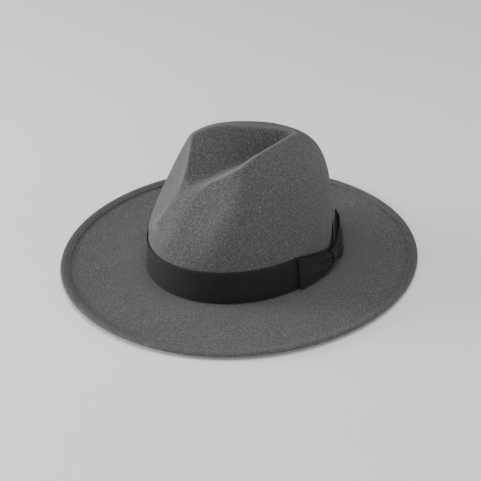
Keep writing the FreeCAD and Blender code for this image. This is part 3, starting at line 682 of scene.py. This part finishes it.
def tack(node, angle, height, lift):
    """Two short strands of thread side by side, sewn through the ribbon."""
    centre, outward, onward, up_wall = wall_place(np.array([angle, angle]), height, np.array([lift, lift]))
    spread = onward * np.array([[-0.24], [0.24]])
    strands = stitch_mesh(f"{node}_thread", centre + spread, up_wall, outward, 2.8, 0.2, 0.35)
    return finished(strands, thread_material("black thread", (0.012, 0.012, 0.013)), [node])


def tacks():
    """Thread tacks of the band and of the bow."""
    lift = LAYER_GAP + RIBBON + 0.12
    for name, angle in (("front", 0.0), ("back", 180.0), ("right", 270.0)):
        tack(f"band_tack_{name}", angle, RIBBON_FOOT + 2.5, lift)
    for name, angle in (("front", BOW_ANGLE - 2.2), ("rear", BOW_ANGLE + 2.2)):
        tack(f"bow_tack_{name}", angle, BOW_HEIGHT, lift + 0.9)


# ---------------------------------------------------------------- sweatband
def inner_strip(name, first, last, columns, foot, width, inset, thickness, seed):
    """Cloth strip on the inside of the crown's wall, between two angles."""
    angles = np.linspace(first, last, columns)
    height = foot + width * np.linspace(0, 1, 10)
    grid_angle, grid_height = np.broadcast_arrays(angles[:, None], height[None, :])
    centre, outward, onward, up_wall = wall_place(grid_angle, grid_height, -inset + 0 * grid_height)
    slack = ripple(centre, 40.0, 0.10, seed) - 0.15 * ((grid_height - foot) / width) ** 3
    return sheet_mesh(name, centre + outward * slack[..., None], thickness), path_length(centre[:, 5])[-1]


def sweatband():
    """Strip inside the head opening, its tape at the back, and the thread that sews it in."""
    inset = FELT + SWEAT_GAP + SWEAT / 2
    band, length = inner_strip(
        "sweatband_cloth", 180.15, 539.85, 900, SWEAT_FOOT, SWEAT_WIDTH, inset, SWEAT * 0.85, 71
    )
    finished(band, sweatband_material(), ["sweatband"])
    tape_inset = inset + SWEAT / 2 + 0.3
    tape, width = inner_strip(
        "sweatband_tape", 175.0, 185.0, 70, SWEAT_FOOT + 0.6, SWEAT_WIDTH - 1.2, tape_inset, 0.34, 72
    )
    finished(tape, tape_material(), ["sweatband_seam_tape"])
    angles = np.linspace(0, 360, 190, endpoint=False)
    # the row steps out a little where it crosses the tape
    over_tape = 0.45 * eased((7.5 - np.abs(angles - 180)) / 1.5)
    centre, outward, onward, up_wall = wall_place(
        angles, SWEAT_FOOT + 1.8, -(inset + SWEAT / 2 + 0.02) - over_tape
    )
    row = stitch_mesh("sweatband_stitches", centre, onward, -outward, 2.5, THREAD, 0.3)
    thread = thread_material("sweatband thread", (0.016, 0.016, 0.018))
    finished(row, thread, ["sweatband_thread"])


# ---------------------------------------------------------------- materials
class Shader:
    """A Principled material, with short ways to add and join its nodes."""

    def __init__(self, name, roughness, **sockets):
        self.material = bpy.data.materials.new(name)
        self.material.use_nodes = True
        self.tree = self.material.node_tree
        self.surface = self.tree.nodes["Principled BSDF"]
        self.surface.inputs["Roughness"].default_value = roughness
        for socket, value in sockets.items():
            self.surface.inputs[socket.replace("_", " ")].default_value = value
        self.coordinates = self.tree.nodes.new("ShaderNodeTexCoord")

    def add(self, kind, settings=None, **inputs):
        """New node; an input is a number, a tuple or the socket that feeds it."""
        node = self.tree.nodes.new(kind)
        for name, value in (settings or {}).items():
            setattr(node, name, value)
        for name, value in inputs.items():
            self.feed(node.inputs[name.replace("_", " ")], value)
        return node

    def feed(self, socket, value):
        """Give a socket a constant or a link."""
        if isinstance(value, bpy.types.NodeSocket):
            self.tree.links.new(value, socket)
        else:
            socket.default_value = value

    def noise(self, scale, detail=3.0, roughness=0.55, source="Object", kind="FBM", stretch=None):
        """Noise over the piece, in cells a metre."""
        place = self.coordinates.outputs[source]
        if stretch:
            place = self.add("ShaderNodeMapping", Vector=place, Scale=stretch).outputs["Vector"]
        node = self.add(
            "ShaderNodeTexNoise", {"noise_type": kind},
            Vector=place, Scale=scale, Detail=detail, Roughness=roughness,
        )
        return node.outputs[0]

    def waves(self, pitch, direction="X", source="UV", distortion=0.0):
        """Even bands of one pitch, in metres."""
        node = self.add(
            "ShaderNodeTexWave", {"bands_direction": direction},
            Vector=self.coordinates.outputs[source], Scale=TAU / (20 * pitch), Distortion=distortion,
        )
        return node.outputs[1]

    def maths(self, operation, first, second):
        """One sum on two values."""
        node = self.tree.nodes.new("ShaderNodeMath")
        node.operation = operation
        self.feed(node.inputs[0], first)
        self.feed(node.inputs[1], second)
        return node.outputs[0]

    def ranged(self, value, low, high, to_low=0.0, to_high=1.0):
        """A value carried from one range to another, kept inside it."""
        node = self.add("ShaderNodeMapRange", Value=value)
        for name, number in zip(("From Min", "From Max", "To Min", "To Max"), (low, high, to_low, to_high)):
            node.inputs[name].default_value = number
        return node.outputs["Result"]

    def blended(self, share, first, second):
        """Colour between two colours."""
        node = self.tree.nodes.new("ShaderNodeMix")
        node.data_type = "RGBA"
        self.feed(node.inputs[0], share)
        for socket, value in ((node.inputs[6], first), (node.inputs[7], second)):
            self.feed(socket, value if isinstance(value, bpy.types.NodeSocket) else (*value, 1))
        return node.outputs[2]

    def bumped(self, *layers):
        """Bumps laid over each other, each a height socket and its depth in metres."""
        normal = None
        for height, depth in layers:
            bump = self.add("ShaderNodeBump", Height=height, Distance=depth, Strength=1.0)
            if normal:
                self.tree.links.new(normal, bump.inputs["Normal"])
            normal = bump.outputs["Normal"]
        self.tree.links.new(normal, self.surface.inputs["Normal"])

    def coloured(self, colour):
        """Send a colour to the surface."""
        self.feed(self.surface.inputs["Base Color"], colour)
        return self


def felt_material():
    """Grey wool felt: matt, slightly uneven in colour, with a grain of matted fibres, a short nap and a
    painted highlight along the crisp folds.
    """
    shader = Shader("grey felt", 0.93, Specular_IOR_Level=0.25, Sheen_Weight=0.12, Sheen_Roughness=0.5)
    cloudy = shader.ranged(shader.noise(12, 3), 0.25, 0.75)
    clumps = shader.noise(480, 2, 0.5)
    grain = shader.noise(900, 4, 0.7)
    fibres = shader.noise(2100, 3, 0.6, kind="RIDGED_MULTIFRACTAL")
    wear_and_painted_highlight = shader.add("ShaderNodeAttribute", {"attribute_name": "wear_and_painted_highlight"}).outputs["Fac"]
    base = shader.blended(cloudy, (0.088, 0.089, 0.092), (0.098, 0.099, 0.102))
    base = shader.blended(shader.ranged(clumps, 0.42, 0.62, 0.0, 0.9), base, (0.152, 0.153, 0.156))
    base = shader.blended(shader.ranged(grain, 0.40, 0.60, 0.0, 0.9), base, (0.036, 0.037, 0.039))
    base = shader.blended(shader.ranged(fibres, 0.55, 1.1, 0.0, 0.35), base, (0.190, 0.191, 0.194))
    # painted highlight: the felt is coloured lighter along the crest of the crisp folds, where the ridges
    # catch the light
    base = shader.blended(shader.maths("MULTIPLY", wear_and_painted_highlight, 0.4), base, (0.220, 0.221, 0.225))
    shader.coloured(base)
    shader.bumped((clumps, 0.0003), (grain, 0.0004), (fibres, 0.00012))
    return shader.material


def ribbon_material():
    """Black grosgrain: fine warp threads over the ribs, a soft sheen and hardly any colour."""
    shader = Shader("black grosgrain", 0.66, Specular_IOR_Level=0.25, Sheen_Weight=0.10, Sheen_Roughness=0.4)
    warp = shader.waves(0.00024, "Y")
    rib = shader.waves(RIB_PITCH * MM, "X")
    wear_and_painted_highlight = shader.ranged(shader.noise(60, 4), 0.3, 0.75)
    slubs = shader.noise(900, 2, source="UV", stretch=(1.0, 0.05, 1.0))
    base = shader.blended(wear_and_painted_highlight, (0.0112, 0.0102, 0.0142), (0.0162, 0.0150, 0.0200))
    base = shader.blended(shader.ranged(warp, 0.2, 0.9, 0.0, 0.35), base, (0.0060, 0.0055, 0.0080))
    # painted shade: the colour is darkened in the grooves between the cross ribs
    base = shader.blended(shader.ranged(rib, 0.0, 0.45, 0.75, 0.0), base, (0.0030, 0.0028, 0.0040))
    base = shader.blended(shader.ranged(slubs, 0.5, 0.8, 0.0, 0.4), base, (0.026, 0.025, 0.030))
    shader.coloured(base)
    shader.bumped((rib, 0.00006), (warp, 0.00004), (slubs, 0.00003))
    return shader.material


def thread_material(name, colour):
    """Twisted sewing thread."""
    shader = Shader(name, 0.7, Specular_IOR_Level=0.3, Sheen_Weight=0.2)
    twist = shader.add(
        "ShaderNodeTexWave", {"bands_direction": "DIAGONAL"},
        Vector=shader.coordinates.outputs["Object"], Scale=900.0, Distortion=1.5,
    ).outputs[1]
    light = tuple(part * 1.5 for part in colour)
    shader.coloured(shader.blended(twist, tuple(part * 0.75 for part in colour), light))
    shader.bumped((twist, 0.00006))
    return shader.material


def sweatband_material():
    """Black twill tape: fine slanted ribs."""
    shader = Shader("sweatband twill", 0.85, Specular_IOR_Level=0.25, Sheen_Weight=0.25)
    twill = shader.waves(0.0009, "DIAGONAL")
    yarn = shader.waves(0.00035, "Y")
    wear_and_painted_highlight = shader.ranged(shader.noise(70, 4), 0.3, 0.7)
    base = shader.blended(wear_and_painted_highlight, (0.016, 0.016, 0.018), (0.026, 0.026, 0.028))
    base = shader.blended(shader.ranged(twill, 0.2, 0.9, 0.0, 0.5), base, (0.009, 0.009, 0.010))
    shader.coloured(base)
    shader.bumped((twill, 0.00018), (yarn, 0.00006))
    return shader.material


def tape_material():
    """Woven seam tape: a fine plain weave."""
    shader = Shader("seam tape", 0.8, Specular_IOR_Level=0.25, Sheen_Weight=0.2)
    weave = shader.maths("MULTIPLY", shader.waves(0.0006, "X"), shader.waves(0.0006, "Y"))
    base = shader.blended(weave, (0.010, 0.010, 0.011), (0.024, 0.024, 0.027))
    faded = shader.ranged(shader.noise(120, 3), 0.3, 0.8, 0.0, 0.4)
    shader.coloured(shader.blended(faded, base, (0.03, 0.03, 0.032)))
    shader.bumped((weave, 0.00012))
    return shader.material


def metal_material(name, colour, roughness, streaks):
    """Drawn metal with fine scratches and a little tarnish."""
    shader = Shader(name, roughness, Metallic=1.0)
    tarnish = shader.ranged(shader.noise(260, 5), 0.35, 0.75)
    scratches = shader.noise(streaks, 2, stretch=(1.0, 1.0, 0.1))
    shader.coloured(shader.blended(tarnish, colour, tuple(part * 0.6 for part in colour)))
    uneven = shader.ranged(scratches, 0.3, 0.7, roughness * 0.7, roughness * 1.3)
    shader.feed(shader.surface.inputs["Roughness"], uneven)
    shader.bumped((scratches, 0.00002))
    return shader.material


def reed_material():
    """Dull extruded plastic cord."""
    shader = Shader("reed", 0.5, Specular_IOR_Level=0.4)
    cloudy = shader.ranged(shader.noise(300, 4), 0.3, 0.7)
    shader.coloured(shader.blended(cloudy, (0.024, 0.024, 0.026), (0.042, 0.042, 0.044)))
    shader.feed(shader.surface.inputs["Roughness"], shader.ranged(cloudy, 0, 1, 0.4, 0.6))
    shader.bumped((shader.noise(1500, 2), 0.00004))
    return shader.material


def cad_materials():
    """Materials of the hard pieces that are carried over from the CAD."""
    finishes = {
        "brim_wire": metal_material("spring wire", (0.45, 0.45, 0.46), 0.35, 3000),
        "wire_joiner": metal_material("brass tube", (0.55, 0.42, 0.18), 0.4, 2000),
        "sweatband_reed": reed_material(),
    }
    for node, material in finishes.items():
        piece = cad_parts[node]
        piece.data.materials.clear()
        piece.data.materials.append(material)


# ---------------------------------------------------------------- floor, light and camera
def floor():
    """Pale table top under the hat."""
    bpy.ops.mesh.primitive_plane_add(size=8, location=(0, 0, 0))
    plane = bpy.context.object
    plane.name = "floor"
    shader = Shader("pale floor", 0.9, Specular_IOR_Level=0.2)
    cloudy = shader.ranged(shader.noise(3, 3), 0.3, 0.7)
    shader.coloured(shader.blended(cloudy, (0.93, 0.93, 0.93), (0.95, 0.95, 0.95)))
    shader.bumped((shader.noise(250, 3), 0.0001))
    plane.data.materials.append(shader.material)


def soft_light(name, place, aim, size, power):
    """Square softbox that points at a place."""
    data = bpy.data.lights.new(name, "AREA")
    data.shape = "SQUARE"
    data.size = size
    data.energy = power
    light = bpy.data.objects.new(name, data)
    bpy.context.scene.collection.objects.link(light)
    light.location = place
    light.rotation_euler = (Vector(aim) - Vector(place)).to_track_quat("-Z", "Y").to_euler()


def studio():
    """Dim white room with a big soft top light, low lights on the left and weak fill from the other sides."""
    world = bpy.data.worlds.new("studio")
    world.use_nodes = True
    world.node_tree.nodes["Background"].inputs["Color"].default_value = (1, 1, 1, 1)
    world.node_tree.nodes["Background"].inputs["Strength"].default_value = 0.18
    bpy.context.scene.world = world
    left = Vector(viewed(VIEW_AZIMUTH - 90, 0))
    away = -Vector(viewed(VIEW_AZIMUTH, 0))
    up = Vector((0, 0, 1))
    centre = Vector((0, 0, 0.07))
    soft_light("top", centre + up * 1.8, centre, 1.4, 25)
    soft_light("left", centre + left * 1.7 + up * 0.25, centre, 0.5, 26)
    soft_light("left behind", centre + left * 1.5 + away * 0.5 + up * 0.7, centre, 0.6, 9)
    soft_light("left before", centre + left * 1.5 - away * 0.7 + up * 0.7, centre, 0.6, 2)
    soft_light("front", centre - away * 1.6 + up * 0.5, centre, 1.0, 9.5)
    soft_light("right", centre - left * 1.6 - away * 0.3 + up * 0.5, centre, 0.8, 5.5)


def viewed(azimuth, elevation):
    """Direction from the hat to a camera at an azimuth and elevation."""
    turn = math.radians(azimuth)
    rise = math.radians(elevation)
    return math.sin(turn) * math.cos(rise), -math.cos(turn) * math.cos(rise), math.sin(rise)


VIEW_AZIMUTH = 57.4
VIEW_ELEVATION = 33.0
VIEW_DISTANCE = 1.5
# the frame's width at the hat's distance is 517 mm
VIEW_WIDTH = 0.517


def camera():
    """Camera at the three-quarter view from above, a little below the hat's middle."""
    data = bpy.data.cameras.new("camera")
    data.sensor_width = 36.0
    data.lens = 36.0 * VIEW_DISTANCE / VIEW_WIDTH
    data.shift_y = 0.0335
    view = bpy.data.objects.new("camera", data)
    bpy.context.scene.collection.objects.link(view)
    back = Vector(viewed(VIEW_AZIMUTH, VIEW_ELEVATION))
    view.location = back * VIEW_DISTANCE
    view.rotation_euler = (-back).to_track_quat("-Z", "Y").to_euler()
    bpy.context.scene.camera = view


# ---------------------------------------------------------------- the hat
RIBBON_CLOTH = ribbon_material()
felt_body()
welt_stitches("welt_needle_stitches", "welt_needle_thread", welt_top(STITCH_INSET) - 0.12, 1)
welt_stitches("welt_bobbin_stitches", "welt_bobbin_thread", 0.12, -1)
hat_band()
for end in LOOPS:
    bow_loop(end)
bow_knot()
tacks()
sweatband()
cad_materials()
floor()
studio()
camera()
